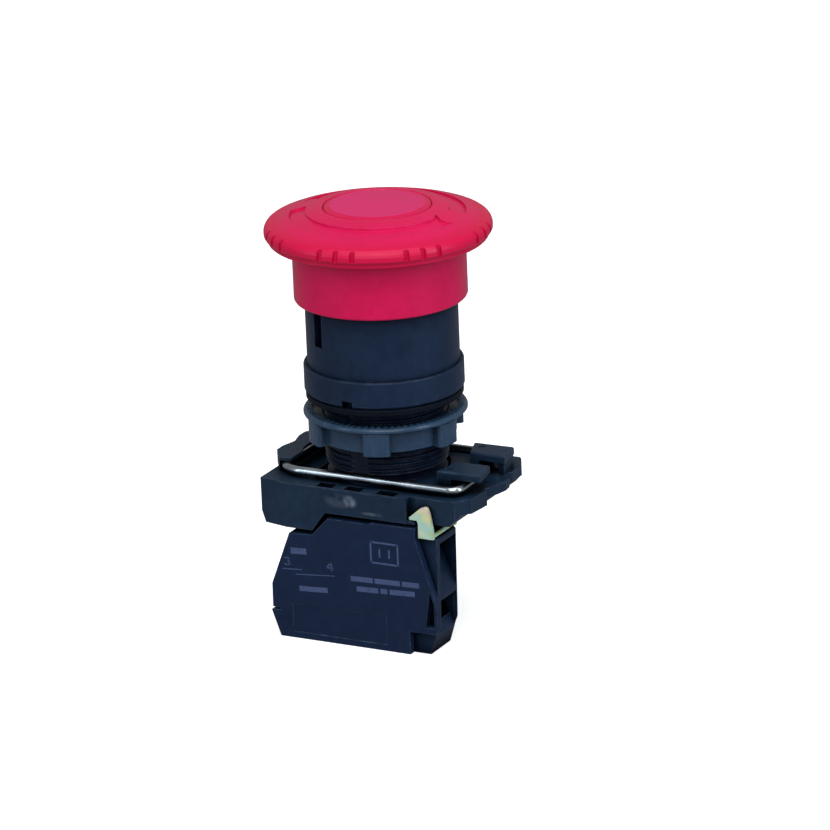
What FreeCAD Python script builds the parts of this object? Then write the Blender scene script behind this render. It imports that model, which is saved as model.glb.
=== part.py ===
import FreeCAD, Part
import math
import os
import Sketcher
from FreeCAD import Placement, Rotation, Vector

# Emergency stop push button for a 22 mm panel hole, with a 40 mm mushroom head that is pushed to
# stop and turned to release, its ring nut, a clip-on collar and one normally open contact block.
# Millimetres. The origin is on the button's axis in the panel's front plane. +Z runs out of the
# panel towards the operator, +X runs along the collar to the right, and -Y is the front, the
# contact block's label side.

doc = FreeCAD.newDocument("EmergencyStop")

# ---------------------------------------------------------------- driving dimensions
# alias, value, what it is
SIZES = [
    ("head_rad", 20.0, "mushroom head radius"),
    ("head_band_z", 29.55, "underside of the head's finger band"),
    ("lip_rad", 19.3, "lip radius under the finger band"),
    ("lip_z", 28.45, "underside of the lip"),
    ("cap_rad", 9.45, "centre cap radius"),
    ("cap_top_z", 34.55, "top of the centre cap"),
    ("skirt_rad", 15.26, "skirt outside radius"),
    ("skirt_bore", 13.86, "skirt inside radius"),
    ("skirt_z", 17.87, "bottom of the skirt"),
    ("arrow_depth", 0.42, "depth of the release arrows"),
    ("arrow_inner", 12.6, "release arrow band inner radius"),
    ("arrow_outer", 15.5, "release arrow band outer radius"),
    ("tube_rad", 13.44, "bezel tube outside radius"),
    ("tube_bore", 11.8, "bezel tube inside radius"),
    ("tube_top_z", 22.5, "top of the bezel tube"),
    ("ring_rad", 14.12, "bezel ring radius"),
    ("ring_top_z", 6.25, "top of the bezel ring"),
    ("gasket_rad", 13.9, "gasket outside radius"),
    ("gasket_bore", 11.2, "gasket inside radius"),
    ("gasket_thick", 1.1, "gasket thickness"),
    ("barrel_rad", 10.9, "thread crest radius, for a 22.3 mm hole"),
    ("thread_root", 10.36, "thread root radius"),
    ("thread_pitch", 1.0, "thread pitch"),
    ("barrel_z", -15.6, "lower end of the barrel"),
    ("barrel_bore", 8.7, "barrel bore radius"),
    ("keyway_w", 3.4, "width of the smooth keyway along the thread"),
    ("guide_rad", 9.85, "guide tube outside radius"),
    ("guide_top_z", 15.0, "top of the guide tube"),
    ("wire_groove", 9.5, "locking groove root radius"),
    ("nut_top_z", -2.05, "top of the ring nut, with a 2 mm panel"),
    ("nut_low_z", -7.3, "bottom of the ring nut"),
    ("nut_rim", 14.5, "ring nut rim radius"),
    ("nut_wall", 12.4, "ring nut wall radius"),
    ("nut_lug", 14.1, "ring nut lug radius"),
    ("nut_bore", 11.0, "ring nut bore radius"),
    ("pusher_rad", 8.6, "pusher radius"),
    ("pusher_low_z", -11.0, "bottom of the pusher"),
    ("pusher_top_z", 7.0, "top of the pusher"),
    ("cup_bore", 7.9, "bore of the pusher's cup"),
    ("stem_rad", 5.5, "stem radius"),
    ("foot_rad", 7.6, "stem foot radius"),
    ("pin_rad", 1.3, "latch pin radius"),
    ("latch_z", -5.0, "height of the latch pins"),
    ("wire_rad", 0.75, "locking wire radius"),
    ("wire_y", 10.4, "locking wire leg offset"),
    ("wire_z", -12.8, "height of the locking wire"),
    ("wire_right", 19.0, "locking wire right crossing"),
    ("wire_left", -16.9, "locking wire left crossing"),
    ("wire_bend", 1.8, "locking wire bend radius on the right"),
    ("wire_bend_left", 5.0, "locking wire bend radius on the left"),
    ("wire_end_y", 5.0, "offset of the locking wire's free ends"),
    ("collar_half", 14.4, "collar half depth"),
    ("collar_top_z", -13.9, "top of the collar's slab"),
    ("collar_low_z", -18.5, "bottom of the collar's slab"),
    ("collar_left", -18.5, "left face of the collar"),
    ("collar_leg_z", -22.1, "bottom of the collar's left leg"),
    ("collar_bore", 11.15, "collar bore radius"),
    ("deck_z", -13.2, "top of the collar's deck"),
    ("hook_top_z", -10.4, "top of the hook blocks"),
    ("block_front_y", -14.4, "label face of the contact block"),
    ("block_split_y", -13.1, "joint between cover and housing"),
    ("block_back_y", -4.6, "back face of the contact block"),
    ("block_low_z", -42.75, "bottom of the contact block"),
    ("block_mid_y", -8.9, "middle of the terminal chambers"),
    ("term_x", 11.9, "terminal screw offset"),
    ("screw_rad", 1.5, "terminal screw shank radius"),
    ("plunger_top_z", -11.55, "top of the contact block's plunger"),
    ("bridge_z", -26.75, "underside of the moving bridge"),
]
SIDES = (("left", -1.0), ("right", 1.0))

sheet = doc.addObject("Spreadsheet::Sheet", "Dims")
for row, (alias, value, note) in enumerate(SIZES, start=1):
    sheet.set(f"A{row}", note)
    sheet.set(f"B{row}", repr(value))
    sheet.setAlias(f"B{row}", alias)
doc.recompute()


class Dim:
    """A length written as an expression of the sheet's cells, with its present value."""

    def __init__(self, text, value):
        self.text = text
        self.value = value

    def __add__(self, other):
        return Dim(f"({self.text} + {text(other)})", self.value + val(other))

    def __sub__(self, other):
        return Dim(f"({self.text} - {text(other)})", self.value - val(other))

    def __rsub__(self, other):
        return Dim(f"({text(other)} - {self.text})", val(other) - self.value)

    def __mul__(self, factor):
        return Dim(f"({self.text} * {text(factor)})", self.value * val(factor))

    def __neg__(self):
        return Dim(f"(0 - {self.text})", -self.value)


def val(x):
    return x.value if isinstance(x, Dim) else float(x)


def text(x):
    return x.text if isinstance(x, Dim) else f"({float(x)!r})"


class Sizes:
    """Each alias of the sheet as an attribute."""

    def __init__(self, rows):
        for alias, value, _ in rows:
            setattr(self, alias, Dim("Dims." + alias, value))


dim = Sizes(SIZES)


def bind(obj, prop, value):
    """Bind a property to the sheet when the value is one of its expressions."""
    if isinstance(value, Dim):
        obj.setExpression(prop, value.text)


# ---------------------------------------------------------------- modelling helpers
class Piece:
    """A PartDesign body that becomes one named sub-part."""

    def __init__(self, label):
        self.label = label
        self.body = doc.addObject("PartDesign::Body", "Body_" + label)
        self.body.Label = label
        self.ref = {o.Role: o for o in self.body.Origin.OriginFeatures}
        self.count = 0
        self.last = None

    def add(self, kind, name):
        self.count += 1
        return self.body.newObject(kind, f"{self.label}_{name}{self.count}")

    def sketch(self, plane, loops, off=0.0, spin=0.0):
        """Closed loops on an origin plane. A loop is ("circle", x, y, r) or a list of corners."""
        sk = self.add("Sketcher::SketchObject", "sk")
        sk.AttachmentSupport = [(self.ref[plane + "_Plane"], "")]
        sk.MapMode = "FlatFace"
        sk.AttachmentOffset = Placement(Vector(0, 0, val(off)), Rotation(Vector(0, 0, 1), spin))
        bind(sk, "AttachmentOffset.Base.z", off)
        constraints = []
        expressions = []

        def constrain(value, *args):
            constraints.append(Sketcher.Constraint(*args, val(value)))
            if isinstance(value, Dim):
                expressions.append((len(constraints) - 1, value.text))

        def place(geo, pos, x, y):
            constrain(x, "DistanceX", -1, 1, geo, pos)
            constrain(y, "DistanceY", -1, 1, geo, pos)

        for loop in loops:
            first = sk.GeometryCount
            if loop[0] == "circle":
                _, x, y, radius = loop
                centre = Vector(val(x), val(y), 0)
                sk.addGeometry(Part.Circle(centre, Vector(0, 0, 1), val(radius)), False)
                place(first, 3, x, y)
                constrain(radius, "Radius", first)
                continue
            corners = [Vector(val(x), val(y), 0) for x, y in loop]
            ends = corners[1:] + corners[:1]
            sk.addGeometry([Part.LineSegment(a, b) for a, b in zip(corners, ends)], False)
            count = len(corners)
            for i in range(count):
                following = first + (i + 1) % count
                constraints.append(
                    Sketcher.Constraint("Coincident", first + i, 2, following, 1))
            for i, (x, y) in enumerate(loop):
                place(first + i, 1, x, y)
        sk.addConstraint(constraints)
        for index, expression in expressions:
            sk.setExpression(f"Constraints[{index}]", expression)
        return sk

    def turn(self, outline, axis="V_Axis"):
        """Revolve a loop on the XZ plane about the Z axis or one of its own edges."""
        sk = self.sketch("XZ", [outline])
        f = self.add("PartDesign::Revolution", "turn")
        f.Profile = sk
        f.ReferenceAxis = (sk, [axis])
        f.Angle = 360.0
        return self.done(f)

    def pad(self, plane, loops, low, high, cut=False, spin=0.0):
        """Extrude or cut between two coordinates along the plane's global axis."""
        # the XZ plane's normal points along -Y
        sk = self.sketch(plane, loops, -high if plane == "XZ" else low, spin)
        f = self.add("PartDesign::" + ("Pocket" if cut else "Pad"), "pad")
        f.Profile = sk
        length = high - low
        f.Length = val(length)
        bind(f, "Length", length)
        f.Reversed = cut
        return self.done(f, cut)

    def cut(self, plane, loops, low, high, spin=0.0):
        return self.pad(plane, loops, low, high, cut=True, spin=spin)

    def polar(self, feature, count, cut=False):
        """Repeat a feature about the Z axis."""
        f = self.add("PartDesign::PolarPattern", "polar")
        f.Originals = [feature]
        f.Axis = (self.ref["Z_Axis"], [""])
        f.Angle = 360.0
        f.Occurrences = count
        self.body.Tip = f
        return self.done(f, cut)

    def mirror(self, feature, plane, cut=False):
        f = self.add("PartDesign::Mirrored", "mirror")
        f.Originals = [feature]
        f.MirrorPlane = (self.ref[plane + "_Plane"], [""])
        self.body.Tip = f
        return self.done(f, cut)

    def coil(self, section, pitch, height, off=0.0, axis=None):
        """Sweep a round section on the XZ plane along a helix, by default about the sketch's
        vertical axis."""
        sk = self.sketch("XZ", [section], off)
        f = self.add("PartDesign::AdditiveHelix", "coil")
        f.Profile = sk
        f.ReferenceAxis = axis or (sk, ["V_Axis"])
        f.Mode = 0  # driven by pitch and height
        f.Pitch = pitch
        f.Height = height
        return self.done(f)

    def chamfer(self, size, pick):
        """Chamfer the edges that pick() accepts."""
        base = self.last
        names = [f"Edge{i}" for i, e in enumerate(base.Shape.Edges, start=1) if pick(e)]
        if not names:
            raise RuntimeError(f"{self.label}: no edge to chamfer")
        f = self.add("PartDesign::Chamfer", "chamfer")
        f.Base = (base, names)
        f.Size = size
        doc.recompute()
        # guards against a chamfer that the kernel can't build: the edges then stay sharp
        if "Invalid" in f.State or f.Shape.isNull() or not f.Shape.isValid():
            self.body.removeObject(f)
            doc.removeObject(f.Name)
            self.body.Tip = base
            doc.recompute()
            return
        self.last = f

    def done(self, f, cut=False):
        """Recompute, and stop if the feature failed or didn't add or remove material."""
        before = self.last.Shape.Volume if self.last is not None else 0.0
        doc.recompute()
        if "Invalid" in f.State or f.Shape.isNull():
            raise RuntimeError(f"{self.label}: {f.Name} failed")
        change = f.Shape.Volume - before
        if (cut and change > -1e-4) or (not cut and change < 1e-4):
            raise RuntimeError(f"{self.label}: {f.Name} changed the volume by {change:.5f}")
        self.last = f
        return f


def rect(x0, y0, x1, y1):
    return [(x0, y0), (x1, y0), (x1, y1), (x0, y1)]


def polar_xy(radius, degrees):
    angle = math.radians(degrees)
    return (radius * math.cos(angle), radius * math.sin(angle))


def sector(outer, inner, middle):
    """A 40 degree ring sector centred on the angle middle."""
    return ([polar_xy(outer, middle + step) for step in (-20, -10, 0, 10, 20)]
            + [polar_xy(inner, middle + step) for step in (20, 0, -20)])


def is_line(edge):
    return isinstance(edge.Curve, Part.Line)


def turned(label, outline):
    piece = Piece(label)
    piece.turn(outline)
    return piece.body


def spring(label, radius, start_z, wire_rad, pitch, height, y=0.0):
    """A coil spring that stands along Z, centred on x = 0."""
    piece = Piece(label)
    piece.coil(("circle", radius, start_z, wire_rad), pitch, height, off=-y)
    return piece.body


# ---------------------------------------------------------------- mushroom head
# radius, height from the cap's seat out to the rim
DOME = [(9.78, 34.31), (10.6, 34.2), (12.0, 33.9), (14.0, 33.36), (16.0, 32.78), (17.5, 32.34),
        (18.6, 32.0), (19.2, 31.76), (19.6, 31.45)]
# barbed end of a release arrow: radius, angle past the arrow's start
BARB = [(12.0, 158.5), (11.85, 162.0), (13.35, 157.2), (14.4, 157.6), (15.35, 161.0)]
ARROW_START = -165.0
ARROW_INNER_SPAN = 154.0
ARROW_OUTER_SPAN = 157.0
ARROW_STEPS = 24
NOTCH_RAD = 0.5
NOTCH_HEIGHT = 6.0
NOTCH_CENTRE_RAD = 19.75
NOTCH_GROUPS = 8
NOTCH_START = 5.7  # angle of the first group's middle notch
NOTCH_STEP = 8.8   # angle between the notches of a group


def arrow(start):
    """One release arrow seen from above, from its square start anticlockwise to its barb."""
    steps = range(ARROW_STEPS + 1)
    inner = [polar_xy(dim.arrow_inner.value, start + k * ARROW_INNER_SPAN / ARROW_STEPS)
             for k in steps]
    outer = [polar_xy(dim.arrow_outer.value, start + k * ARROW_OUTER_SPAN / ARROW_STEPS)
             for k in steps]
    barb = [polar_xy(radius, start + angle) for radius, angle in BARB]
    return inner + barb + outer[::-1]


def finger_notches():
    notches = []
    for group in range(NOTCH_GROUPS):
        for k in (-1, 0, 1):
            notch = doc.addObject("Part::Cylinder", f"notch_{group}_{k + 1}")
            notch.Radius = NOTCH_RAD
            notch.Height = NOTCH_HEIGHT
            angle = NOTCH_START + 360.0 / NOTCH_GROUPS * group + NOTCH_STEP * k
            x, y = polar_xy(NOTCH_CENTRE_RAD, angle)
            low_z = dim.head_band_z + 0.1
            notch.Placement = Placement(Vector(x, y, val(low_z)), Rotation())
            bind(notch, "Placement.Base.z", low_z)
            notches.append(notch)
    tools = doc.addObject("Part::MultiFuse", "notch_tools")
    tools.Shapes = notches
    return tools


def mushroom_head():
    """A core with its dome set down by the arrow depth, under a skin with the arrows cut
    through."""
    depth = dim.arrow_depth
    band_z, lip, lip_z = dim.head_band_z, dim.lip_rad, dim.lip_z
    skirt, skirt_bore, skirt_z = dim.skirt_rad, dim.skirt_bore, dim.skirt_z
    seat_rad = dim.cap_rad + 0.12
    seat_z = 34.36
    socket_rad = dim.stem_rad - 0.95
    inner_dome = [(r, z - depth) for r, z in DOME[:7]]

    core = Piece("head_core")
    core.turn(
        [(1.7, 30.4), (3.1, 30.4), (3.1, 32.9), (seat_rad, 32.9), (seat_rad, seat_z - depth)]
        + inner_dome
        + [(19.3, 31.4 - depth), (19.5, 30.4), (19.5, band_z + 0.2),
           # lip
           (lip, band_z - 0.05), (lip, lip_z + 0.2), (lip - 0.2, lip_z), (17.7, lip_z),
           (17.3, lip_z + 0.5), (16.6, 29.55),
           # skirt
           (skirt + 0.3, 29.55), (skirt, 29.2), (skirt, skirt_z + 0.35),
           (skirt - 0.12, skirt_z + 0.1), (skirt - 0.35, skirt_z),
           (skirt_bore + 0.3, skirt_z), (skirt_bore, skirt_z + 0.3), (skirt_bore, 29.2),
           # two inner tubes
           (11.6, 29.4), (11.4, 24.5), (9.7, 24.5), (9.5, 29.4),
           (8.1, 29.4), (7.9, 24.0), (socket_rad, 24.0), (socket_rad, 29.4), (1.7, 29.4)])

    skin = Piece("head_skin")
    skin.turn(
        [(seat_rad, seat_z - depth), (seat_rad, 34.2), (dim.cap_rad + 0.3, seat_z)]
        + DOME
        + [(19.85, 31.08), (dim.head_rad, 30.6), (dim.head_rad, band_z + 0.3), (19.85, band_z),
           (lip, band_z - 0.05), (19.5, band_z + 0.2), (19.5, 30.4), (19.3, 31.4 - depth)]
        + inner_dome[::-1])
    skin.cut("XY", [arrow(ARROW_START), arrow(ARROW_START + 180.0)], 31.0, 36.0)

    fused = doc.addObject("Part::Fuse", "mushroom_fused")
    fused.Base = core.body
    fused.Tool = skin.body
    fused.Refine = True
    doc.recompute()
    head = doc.addObject("Part::Cut", "mushroom_head_obj")
    head.Base = fused
    head.Tool = finger_notches()
    head.Label = "mushroom_head"
    doc.recompute()
    return head


def centre_cap():
    rad, top = dim.cap_rad, dim.cap_top_z
    return turned("centre_cap", [
        (0.0, 32.95), (rad - 0.2, 32.95), (rad, 33.15), (rad, top - 0.4),
        (rad - 0.15, top - 0.26), (rad - 0.95, top - 0.05), (rad - 1.15, top + 0.02),
        (5.0, top + 0.05), (0.0, top + 0.08)])


def head_screw():
    piece = Piece("head_screw")
    piece.turn([(0.0, 22.2), (1.2, 22.2), (1.5, 22.6), (1.5, 30.45), (2.75, 30.45),
                (2.75, 31.7), (2.2, 32.3), (0.0, 32.5)])
    # cross recess
    for half_x, half_y in ((0.35, 1.6), (1.6, 0.35)):
        piece.cut("XY", [rect(-half_x, -half_y, half_x, half_y)], 31.3, 33.0)
    return piece.body


# ---------------------------------------------------------------- bezel, gasket
def bezel():
    seat_rad = dim.barrel_rad + 0.1
    low = dim.gasket_thick + 0.02
    ring, ring_top = dim.ring_rad, dim.ring_top_z
    tube, tube_bore, tube_top = dim.tube_rad, dim.tube_bore, dim.tube_top_z
    piece = Piece("bezel")
    piece.turn([
        (seat_rad, low), (ring - 0.55, low), (ring, dim.gasket_thick + 0.6),
        (ring, ring_top - 0.3), (ring - 0.1, ring_top - 0.1), (ring - 0.3, ring_top),
        (tube, ring_top + 0.02), (tube, tube_top - 0.3), (tube - 0.3, tube_top),
        (tube_bore + 0.2, tube_top), (tube_bore, tube_top - 0.2), (tube_bore, 3.1),
        (seat_rad, 3.1)])
    # two opposite vertical slots, open at the top
    slot_angle = -118.65
    slot_half = 1.12
    for spin in (slot_angle, slot_angle + 180.0):
        piece.cut("XY", [rect(11.0, -slot_half, 14.3, slot_half)], 10.95, 23.0, spin=spin)
    # small location notch at the front of the ring
    piece.cut("XY", [rect(-1.0, -15.0, 1.0, -13.0)], 1.0, 2.55)
    return piece.body


def bezel_gasket():
    bore, rad, thick = dim.gasket_bore, dim.gasket_rad, dim.gasket_thick
    edge = 0.15
    return turned("bezel_gasket", [
        (bore, 0.0), (rad - edge, 0.0), (rad, edge), (rad, thick - edge), (rad - edge, thick),
        (bore, thick)])


# ---------------------------------------------------------------- threaded body
THREAD_LOW_Z = -11.55
THREAD_RIDGES = 12


def threaded_body():
    """The barrel with its thread as separate ring ridges, and the guide tube above it."""
    bore, crest, root = dim.barrel_bore, dim.barrel_rad, dim.thread_root
    groove, guide, guide_top = dim.wire_groove, dim.guide_rad, dim.guide_top_z
    low = dim.barrel_z
    collar_rad = dim.tube_bore - 0.1
    thread = []
    for ridge in range(THREAD_RIDGES):
        z = dim.thread_pitch * ridge + THREAD_LOW_Z
        thread += [(root, z + 0.12), (crest, z + 0.42), (crest, z + 0.58), (root, z + 0.88)]
    piece = Piece("threaded_body")
    piece.turn(
        [(bore + 0.2, low), (10.3, low), (10.6, low + 0.3), (10.6, -13.6), (groove, -13.6),
         (groove, -11.8), (crest - 0.15, -11.8)]
        + thread
        + [(crest, 1.0), (crest, 3.12), (collar_rad, 3.12), (collar_rad, 4.6), (guide, 4.6),
           (guide, guide_top - 0.2), (guide - 0.2, guide_top), (bore + 0.2, guide_top),
           (bore + 0.2, 12.6), (bore, 12.6), (bore, -4.72),
           # notch that the latch pins spring into
           (bore + 0.921, -9.9), (bore, -10.9), (bore, low + 0.2)])
    # smooth keyways along the thread, front and back
    half = dim.keyway_w * 0.5
    keyway = piece.cut("XY", [rect(-half, -11.2, half, -10.34)], -11.8, 0.9)
    piece.mirror(keyway, "XZ", cut=True)
    # inside keyways for the pusher's keys
    keyway = piece.cut("XY", [rect(-1.35, -9.3, 1.35, -8.0)], -11.4, 15.1)
    piece.mirror(keyway, "XZ", cut=True)
    return piece.body


def stem_seal():
    rad = dim.stem_rad
    return turned("stem_seal", [
        (rad + 0.05, 13.0), (rad + 0.6, 12.65), (8.85, 12.65), (8.85, 14.75), (7.6, 14.75),
        (7.4, 13.7), (6.9, 13.7), (6.6, 14.9), (rad + 0.35, 14.9), (rad + 0.05, 14.3)])


# ---------------------------------------------------------------- ring nut
TOOTH_COUNT = 72
TOOTH_HALF = 0.42
LUG_COUNT = 6
LUG_SPIN = -9.85
LUG_EDGE = dim.nut_lug.value
# one flank of a lug, from its middle out to its root: radius, angle from the lug's middle
LUG_FLANK = [(LUG_EDGE + 0.02, 3.0), (LUG_EDGE, 7.6), (13.95, 9.4), (13.5, 10.4), (12.2, 10.6)]


def panel_nut():
    top, low = dim.nut_top_z, dim.nut_low_z
    bore, wall, rim = dim.nut_bore, dim.nut_wall, dim.nut_rim
    piece = Piece("panel_nut")
    piece.turn([
        (bore, low + 0.3), (bore + 0.3, low), (wall - 0.25, low), (wall, low + 0.25),
        (wall, top - 1.75), (wall + 0.3, top - 1.5), (13.6, top - 1.3), (14.2, top - 1.1),
        (rim, top - 0.85), (rim, top - 0.5), (14.35, top - 0.25), (14.05, top - 0.05),
        (13.85, top), (12.95, top), (12.8, top - 0.65), (bore + 0.3, top - 0.65),
        (bore, top - 0.95)])
    # notches between the teeth of the top face
    notch = [(-TOOTH_HALF, top + 0.1), (0.0, top - 0.42), (TOOTH_HALF, top + 0.1)]
    tooth = piece.cut("XZ", [notch], -14.02, -12.5)
    piece.polar(tooth, TOOTH_COUNT, cut=True)
    outline = ([polar_xy(radius, -angle) for radius, angle in reversed(LUG_FLANK)]
               + [polar_xy(radius, angle) for radius, angle in LUG_FLANK])
    lug = piece.pad("XY", [outline], low, top - 1.2, spin=LUG_SPIN)
    piece.polar(lug, LUG_COUNT)
    return piece.body


# ---------------------------------------------------------------- pusher, stem and latch
def pusher():
    rad, cup, low, top = dim.pusher_rad, dim.cup_bore, dim.pusher_low_z, dim.pusher_top_z
    piece = Piece("pusher")
    piece.turn([
        (0.0, low), (rad - 0.3, low), (rad, low + 0.3), (rad, top), (cup + 0.2, top),
        (cup, top - 0.2),
        # groove for the stem's retainer
        (cup, 5.9), (8.2, 5.9), (8.2, 5.05), (cup, 5.05),
        (cup, -1.5), (0.0, -1.5)])
    # two teeth on the cup's floor
    piece.pad("XY", [sector(7.95, 5.7, 90), sector(7.95, 5.7, 270)], -1.7, 2.1)
    key = piece.pad("XY", [rect(-1.2, -9.15, 1.2, -8.3)], -6.5, 0.0)
    piece.mirror(key, "XZ")
    # radial holes for the latch pins, with a web between them
    hole = piece.cut("YZ", [("circle", 0.0, dim.latch_z, dim.pin_rad + 0.05)], 0.4, 9.0)
    piece.mirror(hole, "YZ", cut=True)
    return piece.body


def cam_stem():
    rad, foot = dim.stem_rad, dim.foot_rad
    piece = Piece("cam_stem")
    piece.turn([
        (3.4, 2.4), (foot, 2.4), (foot, 4.7), (foot - 0.2, 4.9), (rad, 4.9), (rad, 23.95),
        (rad - 1.0, 23.95), (rad - 1.0, 29.1), (rad - 1.3, 29.35), (1.56, 29.35), (1.56, 20.5),
        (0.0, 20.0), (0.0, 9.0), (3.0, 9.0), (3.4, 8.6)])
    # two lobes under the foot
    piece.pad("XY", [sector(7.5, 5.75, 0), sector(7.5, 5.75, 180)], 0.2, 2.6)
    return piece.body


def stem_retainer():
    """A split ring, open on the right."""
    piece = Piece("stem_retainer")
    piece.turn(rect(5.75, 5.12, 8.1, 5.82))
    piece.cut("XY", [rect(5.0, -2.2, 9.0, 2.2)], 5.0, 6.0)
    return piece.body


def latch_pin(side, sign):
    """A pin turned about its own axis, which lies along X."""
    z, rad = dim.latch_z, dim.pin_rad
    piece = Piece("latch_pin_" + side)
    # the outline's sixth and last edge lies on the pin's axis
    piece.turn([(4.0 * sign, z), (4.0 * sign, z + 1.1), (4.2 * sign, z + rad),
                (7.45 * sign, z + rad), (8.35 * sign, z + 0.55), (8.65 * sign, z)],
               axis="Edge6")
    return piece.body


def latch_spring(side, sign):
    """A wire coil along X between the pusher's web and the pin."""
    z = dim.latch_z
    piece = Piece("latch_spring_" + side)
    line = piece.add("PartDesign::Line", "axis")
    line.Placement = Placement(Vector(0, 0, val(z)), Rotation(Vector(0, 1, 0), 90.0 * sign))
    piece.coil(("circle", 0.68 * sign, z + 0.85, 0.16), pitch=0.62, height=2.95,
               axis=(line, [""]))
    return piece.body


# ---------------------------------------------------------------- mounting collar
def collar_body(piece):
    """The slab, its left leg and the cuts that shape its ends."""
    top, low, half = dim.collar_top_z, dim.collar_low_z, dim.collar_half
    left, leg_z = dim.collar_left, dim.collar_leg_z
    # x, y seen from above
    outline = [
        (left, -half + 1.2), (-13.0, -half), (18.9, -half), (19.8, -12.8), (21.1, -10.6),
        (21.6, -10.2), (22.1, -5.2), (21.3, -5.0), (21.5, -4.2), (22.5, -2.0), (23.0, 0.4),
        (22.8, 2.2), (21.6, 3.0), (21.3, 4.6), (21.9, 5.4), (21.6, 9.4), (20.2, 12.2),
        (18.4, half), (-13.0, half), (left, half - 1.2)]
    piece.pad("XY", [outline], low, top)
    # left leg that the contact blocks hook under, full depth
    leg = [(left, low + 0.4), (left, -20.0), (-17.7, leg_z), (-7.9, leg_z), (-5.2, low),
           (-5.2, low + 0.4)]
    piece.pad("XZ", [leg], -half, half)
    # slanted facets at the left corners
    corner = [(left - 1.0, -half + 1.42), (left - 1.0, -half - 1.0), (-13.0, -half - 1.0),
              (-13.0, -half), (left, -half + 1.2)]
    facet = piece.cut("XY", [corner], -22.3, -13.8)
    piece.mirror(facet, "XZ", cut=True)
    # raised underside of the right end
    piece.cut("XZ", [[(18.4, -18.7), (20.3, -16.6), (24.0, -16.6), (24.0, -18.7)]],
              -15.0, 15.0)
    piece.cut("XY", [rect(20.7, -5.1, 24.0, 15.0)], -18.7, -15.6)


def collar_hooks(piece):
    """The deck and the hook blocks that stand on it."""
    top, deck_z, hook_top = dim.collar_top_z, dim.deck_z, dim.hook_top_z
    # deck round the bore and under the hook blocks
    piece.pad("XY", [("circle", 0.0, 0.0, 13.2)], top - 0.2, deck_z)
    piece.pad("XY", [rect(9.0, -9.3, 16.4, 9.3)], top - 0.2, deck_z)
    # front and rear hook blocks, their right parts reach over the locking wire's ends
    piece.pad("XY", [[(13.8, -7.9), (16.4, -7.82), (16.4, -2.15), (14.9, -2.2)],
                     [(13.2, 8.3), (14.6, 3.2), (16.4, 3.2), (16.4, 8.35)]],
              deck_z - 0.1, -11.65)
    piece.pad("XY", [[(13.8, -7.9), (22.1, -7.6), (21.2, -2.0), (14.9, -2.2)],
                     [(13.0, 8.3), (14.7, 3.2), (21.6, 3.1), (20.7, 8.5)]],
              -11.75, hook_top)

    def top_edge(edge):
        return (is_line(edge) and abs(edge.Curve.Direction.z) < 1e-6
                and abs(edge.CenterOfMass.z - val(hook_top)) < 1e-6)

    piece.chamfer(0.22, top_edge)
    # web under the rear hook block's right end
    piece.pad("XY", [[(20.05, 3.6), (21.1, 3.6), (20.6, 8.3), (20.05, 8.3)]],
              top - 0.1, -11.7)


def collar_openings(piece):
    """The bore, channels, recesses and pockets."""
    top, low = dim.collar_top_z, dim.collar_low_z
    # bore with a floor under the barrel's end
    piece.cut("XY", [("circle", 0.0, 0.0, dim.collar_bore)], -15.8, -12.0)
    piece.cut("XY", [("circle", 0.0, 0.0, 9.5)], -18.6, -15.7)
    # the deck stops short of the wire's legs
    channel = piece.cut("XY", [rect(-14.0, -14.0, 14.0, -9.4)], top, -12.0)
    piece.mirror(channel, "XZ", cut=True)
    # channel of the release slide, open at the left and into the bore
    piece.cut("XY", [rect(-19.0, -5.55, -9.0, 5.55)], -15.95, -12.0)
    piece.cut("XY", [rect(-14.2, -8.2, -7.0, 8.2)], -15.95, -12.0)
    # recess for the block's clip at the front, with a lip at its lower left corner, and the
    # same recess behind for a block at the back
    recess = piece.cut("XZ", [[(10.9, -19.0), (10.9, -13.0), (19.8, -13.0), (19.8, -19.0)]],
                       -15.0, -13.0)
    piece.pad("XZ", [[(10.7, low), (12.5, low), (12.3, low + 0.55), (10.7, low + 0.65)]],
              -14.2, -12.8)
    piece.mirror(recess, "XZ", cut=True)
    # three latch pockets in the slab's top near the front edge, and three behind
    pockets = [rect(x0, -13.8, x1, -11.6) for x0, x1 in ((-7.2, -3.9), (-1.8, 1.6), (4.5, 8.4))]
    windows = piece.cut("XY", pockets, -17.2, -13.8)
    piece.mirror(windows, "XZ", cut=True)
    # pockets under the leg for the blocks' hooks, and slots for the clips' inner arms
    pockets = [rect(-13.2, y0, -9.6, y1) for y0, y1 in ((-13.0, -5.9), (-3.9, 3.9), (5.9, 13.0))]
    piece.cut("XY", pockets, -22.3, -19.3)
    piece.cut("XY", [rect(10.7, -6.1, 17.6, -4.3), rect(10.7, 4.3, 17.6, 6.1)], -18.6, -14.7)
    # ejector marks on the hook blocks
    piece.cut("XY", [("circle", 15.6, -6.3, 0.75), ("circle", 15.4, 6.4, 0.75)],
              dim.hook_top_z - 0.12, dim.hook_top_z + 0.2)


def collar_base():
    piece = Piece("collar_base")
    collar_body(piece)
    collar_hooks(piece)
    collar_openings(piece)
    return piece.body


def wire_part(kind, name, x, y, rotation, **lengths):
    """A primitive of the locking wire, with its lengths and place bound to the sheet."""
    part = doc.addObject(kind, name)
    for prop, value in lengths.items():
        setattr(part, prop, val(value))
        bind(part, prop, value)
    part.Placement = Placement(Vector(val(x), val(y), val(dim.wire_z)), rotation)
    for axis, value in (("x", x), ("y", y), ("z", dim.wire_z)):
        bind(part, "Placement.Base." + axis, value)
    return part


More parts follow.
